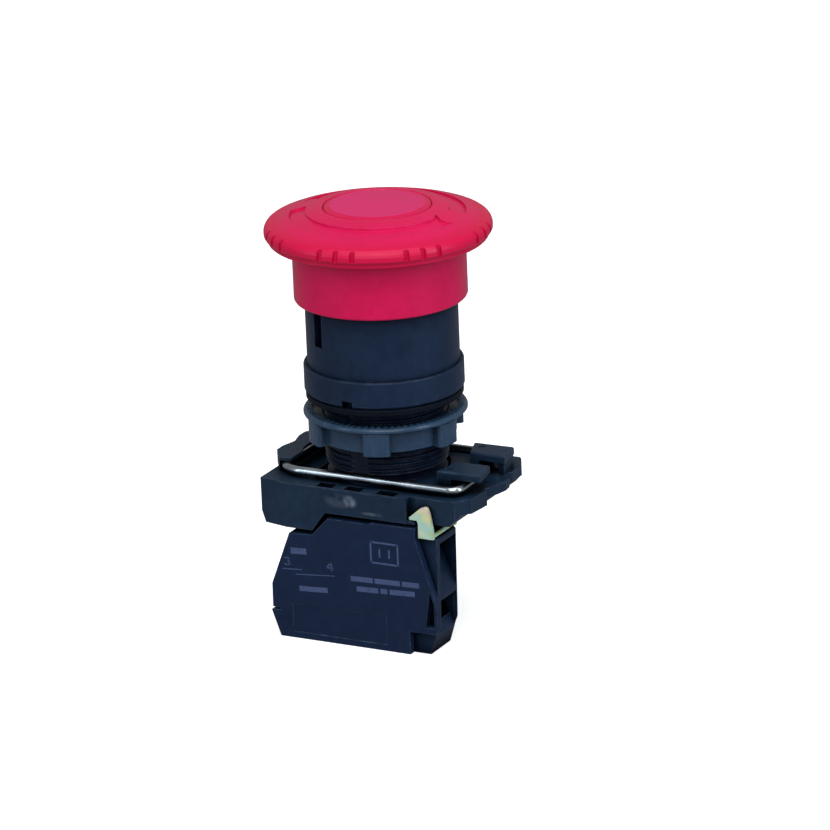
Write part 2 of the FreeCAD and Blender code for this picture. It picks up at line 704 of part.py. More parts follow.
def locking_wire():
    """Two legs, the crossing on the left and two free ends that turn in under the hooks."""
    leg_y, end_y, right, left = dim.wire_y, dim.wire_end_y, dim.wire_right, dim.wire_left
    bend_right, bend_left = dim.wire_bend, dim.wire_bend_left
    leg_x = left + bend_left
    leg_length = right - left - bend_right - bend_left
    end_length = leg_y - bend_right - end_y
    to_x = Rotation(Vector(0, 1, 0), 90)
    to_y = Rotation(Vector(1, 0, 0), -90)
    # name, x and y of the start, length, direction
    rods = [
        ("wire_front", leg_x, -leg_y, leg_length, to_x),
        ("wire_rear", leg_x, leg_y, leg_length, to_x),
        ("wire_end_front", right, bend_right - leg_y, end_length, to_y),
        ("wire_end_rear", right, end_y, end_length, to_y),
        ("wire_crossing", left, bend_left - leg_y, (leg_y - bend_left) * 2, to_y),
    ]
    # name, x and y of the centre, start angle, bend radius
    bends = [
        ("wire_bend_a", right - bend_right, leg_y - bend_right, 0, bend_right),
        ("wire_bend_b", leg_x, leg_y - bend_left, 90, bend_left),
        ("wire_bend_c", leg_x, bend_left - leg_y, 180, bend_left),
        ("wire_bend_d", right - bend_right, bend_right - leg_y, 270, bend_right),
    ]
    parts = [wire_part("Part::Cylinder", name, x, y, direction,
                       Radius=dim.wire_rad, Height=length)
             for name, x, y, length, direction in rods]
    parts += [wire_part("Part::Torus", name, x, y, Rotation(Vector(0, 0, 1), start),
                        Radius1=radius, Radius2=dim.wire_rad, Angle3=90.0)
              for name, x, y, start, radius in bends]
    wire = doc.addObject("Part::MultiFuse", "locking_wire_obj")
    wire.Shapes = parts
    wire.Label = "locking_wire"
    doc.recompute()
    return wire


def release_slide():
    """A tunnel over the wire's crossing, on a foot that runs in the collar's channel."""
    piece = Piece("release_slide")
    # x, y seen from above
    roof = [(-16.95, -8.9), (-14.75, -8.6), (-14.7, -4.4), (-15.6, -2.4), (-15.75, 0.0),
            (-15.6, 2.4), (-14.7, 4.4), (-14.75, 8.6), (-16.95, 8.9), (-19.4, 5.2),
            (-19.4, 3.0), (-18.65, 0.0), (-19.4, -3.0), (-19.4, -5.2)]
    piece.pad("XY", [roof], -13.85, -11.4)
    # tunnel, then its flared ends
    piece.cut("XZ", [rect(-17.95, -14.0, -14.0, -11.95)], -6.9, 6.9)
    flares = [[(-17.75, 6.8 * sign), (-16.85, 8.95 * sign), (-13.9, 8.95 * sign),
               (-13.9, 6.8 * sign)] for _, sign in SIDES]
    piece.cut("XY", flares, -14.0, -11.95)
    foot = [(-18.4, -15.85), (-18.4, -13.7), (-18.0, -13.7), (-18.0, -14.0), (-16.0, -14.0),
            (-16.0, -15.2), (-12.8, -15.2), (-12.8, -15.85)]
    piece.pad("XZ", [foot], -5.45, 5.45)
    return piece.body


# ---------------------------------------------------------------- contact block
# Outlines are x, z seen from the front.
CHAMBER_BACK_Y = -5.8
CHAMBER_FRONT_Y = -12.0
# terminal chambers: sign of the side, upper opening, lower opening
CHAMBERS = [
    (1.0,
     [(18.0, -22.3), (12.7, -22.3), (12.7, -24.9), (16.0, -32.55), (18.0, -32.55)],
     [(18.0, -32.85), (15.75, -32.85), (14.6, -30.6), (9.55, -30.6), (9.55, -39.5),
      (14.0, -39.5), (14.0, -37.6), (14.15, -37.35), (16.0, -40.9), (18.0, -40.9)]),
    (-1.0,
     [(-18.0, -26.0), (-14.2, -26.0), (-14.2, -27.5), (-16.2, -31.9), (-18.0, -31.9)],
     [(-18.0, -33.3), (-9.55, -33.3), (-9.55, -39.5), (-14.6, -39.5), (-15.4, -41.2),
      (-18.0, -41.2)]),
]
TIP_X = 5.3
SPIGOT_RAD = 0.95


def block_front_cover():
    front, split, low = dim.block_front_y, dim.block_split_y, dim.block_low_z
    piece = Piece("block_front_cover")
    piece.pad("XZ", [[
        (-15.1, low), (-16.8, -38.0), (-15.0, -37.85), (-15.0, -37.55), (-16.5, -37.4),
        (-16.45, -33.0), (-12.6, -23.15), (-8.1, -22.95), (-4.8, -19.5), (3.5, -19.55),
        (3.7, -19.25), (12.45, -19.15), (12.3, -21.0), (15.85, -32.0), (16.2, -33.0),
        (16.2, -37.9), (15.95, -38.5), (10.7, -38.5), (10.7, low)]], front, split)
    # opening through the cover beside the right edge
    piece.cut("XZ", [[(14.9, -30.6), (13.9, -37.3), (15.65, -37.3), (15.65, -33.0)]],
              -14.6, -13.0)
    # shallow blank panel for a user's own marking
    piece.cut("XZ", [rect(-12.5, -41.6, 6.1, -36.3)], -14.6, -14.33)
    return piece.body


def block_rear_housing():
    low = dim.block_low_z + 0.05
    mid_y = dim.block_mid_y
    piece = Piece("block_rear_housing")
    piece.pad("XZ", [[
        (-15.05, low), (-16.75, -37.8), (-16.4, -33.0), (-12.6, -23.15), (-8.1, -22.95),
        (-4.8, -19.55), (12.4, -19.3), (12.4, -21.15), (15.8, -21.15), (16.0, -21.4),
        (15.75, -37.6), (15.5, -38.3), (14.1, low)]], dim.block_split_y + 0.03, -5.75)
    # slightly smaller back wall
    piece.pad("XZ", [[
        (-15.0, low), (-16.3, -37.8), (-16.1, -33.0), (-12.5, -23.2), (-8.1, -22.95),
        (-4.8, -19.55), (12.4, -19.3), (12.4, -21.15), (15.1, -21.15), (15.1, -38.4),
        (13.3, low)]], CHAMBER_BACK_Y, dim.block_back_y)
    # hook that goes up into the collar's leg
    piece.pad("XZ", [[(-12.2, -23.6), (-12.2, -21.2), (-12.7, -20.6), (-12.2, -20.0),
                      (-10.4, -20.0), (-10.4, -23.3)]], -12.4, -6.6)
    # middle chamber, closed by the cover
    piece.cut("XZ", [[(-8.6, -41.3), (-8.6, -24.4), (-7.4, -24.2), (-4.3, -20.9),
                      (8.6, -20.9), (8.6, -41.3)]], -13.3, CHAMBER_BACK_Y)
    # opening for the plunger
    piece.cut("XY", [rect(-2.2, -8.6, 2.2, -5.9)], -21.2, -19.0)
    for sign, upper, lower in CHAMBERS:
        # the last outline is the slot that lets the fixed contact into the middle chamber
        for outline in (upper, lower, rect(8.0 * sign, -36.35, 9.8 * sign, -35.05)):
            piece.cut("XZ", [outline], CHAMBER_FRONT_Y, CHAMBER_BACK_Y)
        # screwdriver hole
        piece.cut("XY", [("circle", dim.term_x * sign, mid_y, 2.15)], -43.0, -39.4)
    # spigot that centres the plunger's return spring
    piece.pad("XY", [("circle", 0.0, mid_y, SPIGOT_RAD)], -41.5, -39.6)
    return piece.body


def contact_plunger():
    mid_y = dim.block_mid_y
    half = 2.4
    window_half = 1.5
    piece = Piece("contact_plunger")
    piece.pad("XY", [rect(-2.0, -8.4, 2.0, -6.15)], -22.5, dim.plunger_top_z)
    piece.pad("XY", [rect(-half, mid_y - half, half, mid_y + half)], -28.0, -21.6)
    # window for the bridge and its spring
    window = rect(mid_y - window_half, dim.bridge_z - 0.05, mid_y + window_half, -22.6)
    piece.cut("YZ", [window], -2.6, 2.6)
    # spigot for the return spring
    piece.pad("XY", [("circle", 0.0, mid_y, SPIGOT_RAD)], -29.6, -27.9)
    return piece.body


def moving_bridge():
    low, mid_y = dim.bridge_z, dim.block_mid_y
    top = low + 0.7
    crown = low + 0.95
    bar_half = 1.35
    end_half = 2.0
    piece = Piece("moving_bridge")
    piece.pad("XZ", [[
        (-7.2, low), (-3.2, low), (-2.8, low), (2.8, low), (7.2, low), (7.2, top), (1.3, top),
        (1.0, crown), (-1.0, crown), (-1.3, top), (-7.2, top)]],
        mid_y - bar_half, mid_y + bar_half)
    # wider ends
    piece.pad("XY", [rect(x0, mid_y - end_half, x1, mid_y + end_half)
                     for x0, x1 in ((-7.3, -3.4), (3.4, 7.3))], low, top)
    return piece.body


def contact_tips(label, radius, low, high):
    piece = Piece(label)
    piece.pad("XY", [("circle", TIP_X * sign, dim.block_mid_y, radius) for _, sign in SIDES],
              low, high)
    return piece.body


def fixed_contact(side, sign):
    mid_y = dim.block_mid_y
    half = 2.6
    outline = [(3.6, -31.5), (3.6, -30.7), (8.5, -30.7), (8.5, -35.2), (13.5, -35.2),
               (13.5, -36.2), (7.7, -36.2), (7.7, -31.5)]
    piece = Piece("fixed_contact_" + side)
    piece.pad("XZ", [[(x * sign, z) for x, z in outline]], mid_y - half, mid_y + half)
    piece.cut("XY", [("circle", dim.term_x * sign, mid_y, dim.screw_rad + 0.05)],
              -36.4, -35.0)
    return piece.body


def clamp_plate(side, sign):
    screw_x = dim.term_x * sign
    # x outwards from the screw's axis, z
    outline = [(-2.2, -39.3), (2.0, -39.3), (2.0, -38.2), (1.7, -38.5), (-1.5, -38.5),
               (-1.8, -38.0), (-2.2, -38.0)]
    piece = Piece("clamp_plate_" + side)
    piece.pad("XZ", [[(screw_x + x * sign, z) for x, z in outline]], -11.5, -6.4)
    piece.cut("XY", [("circle", screw_x, dim.block_mid_y, dim.screw_rad + 0.1)],
              -39.5, -37.5)
    return piece.body


def terminal_screw(side, sign):
    """A screw with its head at the bottom."""
    x, y = dim.term_x * sign, dim.block_mid_y
    head_z = -41.3
    end_z = -34.9
    piece = Piece("terminal_screw_" + side)
    piece.pad("XY", [("circle", x, y, 1.92)], head_z, -39.36)
    piece.pad("XY", [("circle", x, y, dim.screw_rad)], -39.5, end_z)

    def rim(edge):
        z = edge.CenterOfMass.z
        return not is_line(edge) and (abs(z - head_z) < 0.01 or abs(z - end_z) < 0.01)

    piece.chamfer(0.35, rim)
    # cross recess
    for half_x, half_y in ((1.35, 0.3), (0.3, 1.35)):
        piece.cut("XY", [rect(x - half_x, y - half_y, x + half_x, y + half_y)], -41.5, -40.3)
    return piece.body


def block_clip():
    """Two hooked arms and the round bar that joins them, on which the clip rocks."""
    arm = [(12.9, -20.95), (15.85, -20.95), (15.8, -19.8), (15.55, -18.1), (15.2, -16.2),
           (14.9, -15.35), (14.4, -15.1), (13.5, -15.4), (11.2, -17.35), (11.35, -17.75),
           (12.75, -17.75), (12.95, -18.4)]
    thick = 0.65
    piece = Piece("block_clip")
    for front_y in (-14.05, -5.6):
        piece.pad("XZ", [arm], front_y, front_y + thick)
    piece.pad("XZ", [("circle", 15.45, -20.55, 0.38)], -14.0, -5.0)
    return piece.body


# ---------------------------------------------------------------- build, check and write
finished = [mushroom_head(), centre_cap(), head_screw(), bezel(), bezel_gasket(),
            threaded_body(), stem_seal(), panel_nut(), pusher(), cam_stem(), stem_retainer()]
for side, sign in SIDES:
    finished += [latch_pin(side, sign), latch_spring(side, sign)]
finished += [
    spring("trigger_spring", radius=2.55, start_z=-1.2, wire_rad=0.25, pitch=1.45, height=9.85),
    spring("reset_spring", radius=10.6, start_z=5.1, wire_rad=0.45, pitch=2.71, height=18.9),
    collar_base(), locking_wire(), release_slide(),
    block_front_cover(), block_rear_housing(), contact_plunger(), moving_bridge(),
    contact_tips("bridge_contact_tips", radius=1.35,
                 low=dim.bridge_z - 0.72, high=dim.bridge_z - 0.02),
    contact_tips("fixed_contact_tips", radius=1.45, low=-30.68, high=-29.92),
    spring("bridge_spring", radius=1.15, start_z=dim.bridge_z + 1.2, wire_rad=0.2,
           pitch=0.72, height=2.7, y=dim.block_mid_y),
    spring("plunger_return_spring", radius=1.55, start_z=-41.0, wire_rad=0.27,
           pitch=1.55, height=12.65, y=dim.block_mid_y),
]
for side, sign in SIDES:
    finished += [fixed_contact(side, sign), clamp_plate(side, sign), terminal_screw(side, sign)]
finished.append(block_clip())

doc.recompute()
bad = [o.Label for o in doc.Objects if "Invalid" in o.State or "Error" in o.State]
if bad:
    raise SystemExit(f"failed objects: {bad}")
for obj in finished:
    shape = obj.Shape
    if shape.isNull() or not shape.isValid() or not shape.Solids:
        raise SystemExit(f"{obj.Label} has no valid solid")
if len({obj.Label for obj in finished}) != len(finished):
    raise SystemExit("two sub-parts share a label")
os.makedirs("parts", exist_ok=True)
for obj in finished:
    obj.Shape.exportStep(os.path.join("parts", obj.Label + ".step"))
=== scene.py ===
"""Looks for a mushroom-head push button with its contact block.

The button stands on Z with its head up. The block hangs below it, and the block's
printed cover faces -Y. Names ending in _MM and the print tables are in millimetres.
"""
import math
import random

import bmesh
import bpy
from mathutils import Matrix, Vector


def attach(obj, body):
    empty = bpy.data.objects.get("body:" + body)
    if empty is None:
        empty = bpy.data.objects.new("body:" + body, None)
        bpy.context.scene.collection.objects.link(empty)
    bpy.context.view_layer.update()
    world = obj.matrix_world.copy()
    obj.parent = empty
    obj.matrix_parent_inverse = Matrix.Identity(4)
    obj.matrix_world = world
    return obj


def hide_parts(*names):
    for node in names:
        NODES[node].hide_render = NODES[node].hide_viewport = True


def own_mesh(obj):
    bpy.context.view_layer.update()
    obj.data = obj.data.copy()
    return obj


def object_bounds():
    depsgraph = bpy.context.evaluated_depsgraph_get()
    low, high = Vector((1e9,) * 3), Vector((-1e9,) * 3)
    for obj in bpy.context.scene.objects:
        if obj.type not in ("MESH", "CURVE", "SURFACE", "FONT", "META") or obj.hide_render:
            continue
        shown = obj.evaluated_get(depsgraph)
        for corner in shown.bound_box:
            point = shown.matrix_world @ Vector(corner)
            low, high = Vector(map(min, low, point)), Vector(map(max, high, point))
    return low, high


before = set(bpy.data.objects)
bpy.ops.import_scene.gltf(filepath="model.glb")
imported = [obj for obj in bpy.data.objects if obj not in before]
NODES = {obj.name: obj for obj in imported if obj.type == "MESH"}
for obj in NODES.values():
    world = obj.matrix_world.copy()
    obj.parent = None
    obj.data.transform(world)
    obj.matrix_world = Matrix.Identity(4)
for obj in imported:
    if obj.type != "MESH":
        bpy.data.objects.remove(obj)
cad_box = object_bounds()
random.seed(7)
MM = 0.001
WHITE_LIGHT = (1.0, 1.0, 1.0)
scene = bpy.context.scene


# ------------------------------------------------------------------ shader graph
class Graph:
    """A node material whose methods each add a node or two and return the output socket."""

    def __init__(self, name):
        self.material = bpy.data.materials.new(name)
        self.material.use_nodes = True
        self.tree = self.material.node_tree
        self.tree.nodes.clear()
        output = self.add("ShaderNodeOutputMaterial")
        self.bsdf = self.add("ShaderNodeBsdfPrincipled")
        self.link(self.bsdf.outputs["BSDF"], output.inputs["Surface"])
        self.coord = self.add("ShaderNodeTexCoord").outputs["Object"]

    def add(self, kind, **props):
        node = self.tree.nodes.new(kind)
        for key, value in props.items():
            setattr(node, key, value)
        return node

    def link(self, source, target):
        self.tree.links.new(source, target)

    def feed(self, socket, value):
        """Link a socket, or set a plain number or an RGB colour."""
        if isinstance(value, bpy.types.NodeSocket):
            self.link(value, socket)
        elif isinstance(value, tuple) and len(value) == 3 and socket.type == "RGBA":
            socket.default_value = (*value, 1.0)
        else:
            socket.default_value = value

    def set(self, **inputs):
        for key, value in inputs.items():
            self.feed(self.bsdf.inputs[key.replace("_", " ")], value)

    def noise(self, scale, detail=3.0, rough=0.55, vector=None, distortion=0.0):
        node = self.add("ShaderNodeTexNoise")
        self.link(self.coord if vector is None else vector, node.inputs["Vector"])
        node.inputs["Scale"].default_value = scale
        node.inputs["Detail"].default_value = detail
        node.inputs["Roughness"].default_value = rough
        node.inputs["Distortion"].default_value = distortion
        return node.outputs["Fac"]

    def stretch(self, scale):
        node = self.add("ShaderNodeMapping")
        self.link(self.coord, node.inputs["Vector"])
        node.inputs["Scale"].default_value = scale
        return node.outputs["Vector"]

    def math(self, operation, first, second=0.0, clamp=False):
        node = self.add("ShaderNodeMath", operation=operation, use_clamp=clamp)
        self.feed(node.inputs[0], first)
        self.feed(node.inputs[1], second)
        return node.outputs[0]

    def times(self, first, second):
        return self.math("MULTIPLY", first, second)

    def plus(self, first, second, clamp=False):
        return self.math("ADD", first, second, clamp)

    def weigh(self, first, second, share):
        """A weighted sum; share is the weight of the first."""
        return self.plus(self.times(first, share), self.times(second, 1.0 - share))

    def length(self, x, y):
        return self.math("SQRT", self.plus(self.times(x, x), self.times(y, y)))

    def span(self, value, over, to=(0.0, 1.0), smooth=False):
        """Map the range `over` onto the range `to`, clamped."""
        node = self.add("ShaderNodeMapRange", clamp=True)
        if smooth:
            node.interpolation_type = "SMOOTHSTEP"
        self.link(value, node.inputs["Value"])
        for key, limit in zip(("From Min", "From Max", "To Min", "To Max"), (*over, *to)):
            node.inputs[key].default_value = limit
        return node.outputs["Result"]

    def mix(self, fac, base, other):
        """Colour mix; 6, 7 and output 2 are the node's colour sockets."""
        node = self.add("ShaderNodeMix", data_type="RGBA")
        self.feed(node.inputs[0], fac)
        self.feed(node.inputs[6], base)
        self.feed(node.inputs[7], other)
        return node.outputs[2]

    def part(self, vector, which):
        node = self.add("ShaderNodeSeparateXYZ")
        self.link(vector, node.inputs[0])
        return node.outputs[which]

    def axis(self, which):
        return self.part(self.coord, which)

    def normal(self, which):
        return self.part(self.add("ShaderNodeNewGeometry").outputs["Normal"], which)

    def rounded(self, radius):
        """The surface's normal with its corners eased."""
        node = self.add("ShaderNodeBevel", samples=4)
        node.inputs["Radius"].default_value = radius
        return node.outputs["Normal"]

    def edge(self, radius):
        """0 on flats, up to 1 on convex and concave corners."""
        eased = self.rounded(radius)
        geometry = self.add("ShaderNodeNewGeometry")
        dot = self.add("ShaderNodeVectorMath", operation="DOT_PRODUCT")
        self.link(eased, dot.inputs[0])
        self.link(geometry.outputs["Normal"], dot.inputs[1])
        return self.span(dot.outputs["Value"], over=(0.995, 0.86))

    def painted_recess_shade(self, colour, reach, low, over):
        """Painted shade: the colour darkened inside recesses by ambient occlusion, and the factor
        (low to 1) that darkens it.
        """
        node = self.add("ShaderNodeAmbientOcclusion", samples=6)
        node.inputs["Distance"].default_value = reach
        fac = self.span(node.outputs["AO"], over=over, to=(low, 1.0))
        return self.mix(fac, (0.0, 0.0, 0.0), colour), fac

    def bump(self, height, strength, distance, after=None):
        node = self.add("ShaderNodeBump")
        node.inputs["Strength"].default_value = strength
        node.inputs["Distance"].default_value = distance
        self.link(height, node.inputs["Height"])
        if after is not None:
            self.link(after, node.inputs["Normal"])
        return node.outputs["Normal"]


# ------------------------------------------------------------------ kinds of material
def smudge(graph, colour, centre, radii, power):
    """A soft dusty oval on faces turned to -Y; centre and radii are x, z in millimetres."""
    x, z = (graph.math("DIVIDE", graph.math("SUBTRACT", graph.axis(name), middle * MM), radius * MM)
            for name, middle, radius in zip("XZ", centre, radii))
    oval = graph.span(graph.length(x, z), over=(1.0, 0.4), smooth=True)
    breakup = graph.span(graph.noise(scale=420.0, detail=4.0, rough=0.6), over=(0.36, 0.62))
    front = graph.span(graph.normal("Y"), over=(-0.7, -0.95))
    fac = graph.times(graph.times(graph.times(oval, breakup), front), power)
    return graph.mix(fac, colour, (0.16, 0.19, 0.24))


def moulded(name, dark, light, edge_tone, rough, grain, dust=0.12, marks=(), scratch=0.5,
            spec=0.3, ease=0.00016, wear_and_highlight=0.75, painted_shade_floor=None, crown=None):
    """Fine-grained moulded plastic: mottled, with corners lightened by wear and painted highlight,
    faint dust and scratches.

    rough: roughness range; ease: corner radius in metres; deep: share of the colour left in
    recesses, as painted shade; marks: smudges; crown: inner and outer radius in millimetres,
    and the tone beyond them, with a painted reflection on the top inside them.
    """
    graph = Graph(name)
    broad = graph.noise(scale=70.0, detail=4.0, rough=0.6)
    mid = graph.noise(scale=620.0)
    fine = graph.noise(scale=7000.0, detail=2.0, rough=0.6)
    mottle = graph.weigh(broad, mid, share=0.6)
    colour = graph.mix(graph.span(mottle, over=(0.36, 0.66)), dark, light)

    # Corners, concave ones too, are lightened: partly wear, partly painted highlight.
    edge_breakup = graph.span(graph.noise(scale=420.0, detail=4.0, rough=0.65), over=(0.38, 0.66))
    worn_and_lit = graph.times(graph.edge(radius=0.00028), edge_breakup)
    colour = graph.mix(graph.times(worn_and_lit, wear_and_highlight), colour, edge_tone)
    # Painted reflection: the top keeps a lighter, bluer tone that fades outward, between the two
    # radii, to the tone beyond.
    if crown is not None:
        inner, outer, rim_tone = crown
        radius = graph.length(graph.axis("X"), graph.axis("Y"))
        beyond = graph.span(radius, over=(inner * MM, outer * MM), smooth=True)
        colour = graph.mix(beyond, colour, rim_tone)

    # Dust settles on faces that look up.
    upward = graph.span(graph.normal("Z"), over=(0.2, 1.0))
    speck = graph.span(graph.noise(scale=2600.0, rough=0.7), over=(0.6, 0.78))
    lint = graph.times(graph.times(upward, speck), dust)
    colour = graph.mix(lint, colour, (0.30, 0.33, 0.38))
    lines = graph.noise(scale=260.0, detail=6.0, rough=0.8, distortion=0.6,
                        vector=graph.stretch((1.0, 1.0, 9.0)))
    lines = graph.span(lines, over=(0.66, 0.74))
    colour = graph.mix(graph.times(lines, 0.10 * scratch), colour, edge_tone)
    for centre, radii, power in marks:
        colour = smudge(graph, colour, centre, radii, power)
    # Painted shade: recesses are darkened by ambient occlusion, and their specular is dimmed with
    # it.
    if painted_shade_floor is not None:
        colour, opening = graph.painted_recess_shade(colour, reach=0.0035, low=painted_shade_floor, over=(0.40, 0.92))
        spec = graph.times(opening, spec)

    # Lightened corners are a little glossier, dust is much rougher.
    gloss_gain, dust_rough = 0.08, 0.8
    surface = graph.span(graph.weigh(broad, mid, share=0.5), over=(0.36, 0.64), to=rough)
    surface = graph.math("SUBTRACT", surface, graph.times(worn_and_lit, gloss_gain))
    surface = graph.plus(surface, graph.times(lint, dust_rough), clamp=True)
    grained = graph.bump(fine, strength=grain, distance=0.00004, after=graph.rounded(ease))
    wavy = graph.bump(graph.noise(scale=160.0, detail=2.0, rough=0.5), strength=0.12,
                      distance=0.00025, after=grained)
    graph.set(Base_Color=colour, Roughness=surface, Normal=wavy, Specular_IOR_Level=spec)
    return graph.material


def metal(name, dark, light, rough, brush=(1.0, 1.0, 1.0), streak=1200.0, tint=None, bump=0.12,
          pits=0.35, metallic=1.0, painted_shade_floor=None):
    """Metal with drawn or brushed streaks, a broad blotchy tone and small pits.

    brush: stretch of the streaks by axis; streak: their noise scale; tint: a function that
    recolours the metal; deep: share of the colour left in recesses, as painted shade.
    """
    graph = Graph(name)
    broad = graph.noise(scale=160.0, detail=4.0, rough=0.6)
    lines = graph.noise(scale=streak, detail=4.0, rough=0.6, vector=graph.stretch(brush))
    colour = graph.mix(graph.span(broad, over=(0.35, 0.65)), dark, light)
    streak_share, streak_gain = 0.25, 1.25
    bright = tuple(min(1.0, channel * streak_gain) for channel in light)
    streaks = graph.times(graph.span(lines, over=(0.45, 0.75)), streak_share)
    colour = graph.mix(streaks, colour, bright)
    if tint:
        colour = tint(graph, colour)
    pit = graph.span(graph.noise(scale=3800.0, detail=2.0, rough=0.7), over=(0.66, 0.76))
    pit_tone, pit_rough = 0.45, 0.2
    colour = graph.mix(graph.times(pit, pits), colour, tuple(c * pit_tone for c in dark))
    # Painted shade: recesses are darkened by ambient occlusion.
    if painted_shade_floor is not None:
        colour, _ = graph.painted_recess_shade(colour, reach=0.010, low=painted_shade_floor, over=(0.62, 0.98))
    surface = graph.span(graph.weigh(broad, lines, share=0.5), over=(0.36, 0.64), to=rough)
    graph.set(Base_Color=colour, Metallic=metallic,
              Roughness=graph.plus(surface, graph.times(pit, pit_rough), clamp=True),
              Normal=graph.bump(lines, strength=bump, distance=0.00003,
                                after=graph.rounded(0.00010)))
    return graph.material


# Colours of the zinc film: position along the ramp, colour.
FILM = (
    (0.14, (0.74, 0.76, 0.20)), (0.26, (0.52, 0.78, 0.40)), (0.38, (0.48, 0.84, 0.72)),
    (0.50, (0.66, 0.88, 0.62)), (0.62, (0.92, 0.92, 0.44)), (0.72, (0.96, 0.84, 0.62)),
    (0.82, (0.98, 0.74, 0.80)), (0.92, (0.98, 0.95, 0.90)),
)
FILM_COVER = 0.88


def passivate(graph, colour):
    """Coloured bands of a passivated zinc film, drifting along the height."""
    film = graph.noise(scale=300.0, detail=2.0, rough=0.5, distortion=0.9)
    height = graph.span(graph.axis("Z"), over=(-21.0 * MM, -15.2 * MM), to=(0.12, 0.88))
    film = graph.weigh(graph.span(film, over=(0.3, 0.7)), height, share=0.42)
    ramp = graph.add("ShaderNodeValToRGB")
    stops = ramp.color_ramp.elements
    stops[0].position = FILM[0][0]
    stops[1].position = FILM[-1][0]
    for position, _ in FILM[1:-1]:
        stops.new(position)
    for stop, (_, tone) in zip(stops, FILM):
        stop.color = (*tone, 1.0)
    graph.link(film, ramp.inputs["Fac"])
    return graph.mix(FILM_COVER, colour, ramp.outputs["Color"])


def painted_end_shade(graph, colour):
    """Brass painted nearly black at its outer ends: painted shade where it sits inside the wire
    openings.
    """
    outward = graph.math("ABSOLUTE", graph.axis("X"))
    outer = graph.span(outward, over=(11.4 * MM, 12.2 * MM), to=(0.0, 0.97), smooth=True)
    return graph.mix(outer, colour, (0.012, 0.010, 0.009))


# ------------------------------------------------------------------ materials
# Where a material keeps only a share of its colour in recesses, that is painted shade.
RED_SKIN = dict(grain=0.08, dust=0.02, scratch=0.12, spec=0.24, wear_and_highlight=0.35)
# Beyond r 16.5 mm the red goes darker and less blue: the rim is painted without the reflection the
# dome top carries.
RED = moulded(
    "red_moulded", dark=(0.59, 0.0032, 0.069), light=(0.685, 0.0050, 0.089),
    edge_tone=(0.90, 0.05, 0.20), rough=(0.30, 0.42),
    crown=(16.5, 19.0, (0.61, 0.0022, 0.056)), **RED_SKIN)
# The cap is a pinker copy of the red, a painted reflection, fading to plain red between r 8.25 and
# 8.55 mm.
CAP = moulded(
    "red_cap", dark=(0.61, 0.0070, 0.112), light=(0.69, 0.0110, 0.138),
    edge_tone=(0.90, 0.06, 0.24), rough=(0.30, 0.40),
    crown=(8.25, 8.55, (0.60, 0.0030, 0.062)), **RED_SKIN)
BLACK = moulded(
    "black_moulded", dark=(0.0044, 0.0125, 0.0345), light=(0.0080, 0.0210, 0.0530),
    edge_tone=(0.070, 0.105, 0.175), rough=(0.34, 0.48), grain=0.22, dust=0.06, spec=0.17,
    painted_shade_floor=0.03, wear_and_highlight=0.9)
# Each mark: centre x, z; radii along x, z; strength.
COLLAR_MARKS = (
    ((-0.2, -15.75), (1.7, 1.35), 0.95),
    ((-2.2, -15.9), (4.0, 1.7), 0.30),
    ((4.2, -17.6), (3.0, 0.4), 0.5),
)
BLACK_COLLAR = moulded(
    "black_collar", dark=(0.0046, 0.0155, 0.0360), light=(0.0100, 0.0280, 0.0590),
    edge_tone=(0.070, 0.110, 0.165), rough=(0.34, 0.50), grain=0.3, dust=0.10,
    marks=COLLAR_MARKS, scratch=1.3, spec=0.18, painted_shade_floor=0.03, wear_and_highlight=0.95)
BLACK_COVER = moulded(
    "black_cover", dark=(0.0050, 0.0130, 0.0400), light=(0.0085, 0.0205, 0.0560),
    edge_tone=(0.095, 0.140, 0.235), rough=(0.42, 0.55), grain=0.3, scratch=0.4, dust=0.05,
    spec=0.14, wear_and_highlight=0.7)
THREAD = moulded(
    "black_barrel", dark=(0.0014, 0.0034, 0.0110), light=(0.0034, 0.0080, 0.0225),
    edge_tone=(0.026, 0.042, 0.075), rough=(0.30, 0.44), grain=0.15, dust=0.04, spec=0.18,
    ease=0.00008)
SLATE = moulded(
    "slate_moulded", dark=(0.0150, 0.0390, 0.0780), light=(0.0270, 0.0620, 0.1180),
    edge_tone=(0.090, 0.15, 0.24), rough=(0.20, 0.32), grain=0.12, dust=0.02, scratch=0.1,
    spec=0.36, painted_shade_floor=0.55)
RUBBER = moulded(
    "gasket_rubber", dark=(0.0012, 0.0026, 0.0070), light=(0.0028, 0.0055, 0.0125),
    edge_tone=(0.010, 0.016, 0.028), rough=(0.45, 0.62), grain=0.4, dust=0.05, spec=0.09)
WHITE = moulded(
    "natural_moulded", dark=(0.60, 0.58, 0.51), light=(0.72, 0.70, 0.64),
    edge_tone=(0.82, 0.80, 0.75), rough=(0.36, 0.5), grain=0.12)
WIRE = metal(
    "drawn_wire", dark=(0.24, 0.28, 0.31), light=(0.52, 0.57, 0.60), rough=(0.14, 0.25),
    streak=1500.0, brush=(0.05, 1.0, 1.0), bump=0.04, pits=0.12)
SPRING = metal(
    "spring_wire", dark=(0.38, 0.39, 0.41), light=(0.58, 0.59, 0.60), rough=(0.22, 0.36))
STEEL = metal(
    "plated_steel", dark=(0.44, 0.45, 0.46), light=(0.64, 0.65, 0.65), rough=(0.26, 0.42),
    painted_shade_floor=0.02)
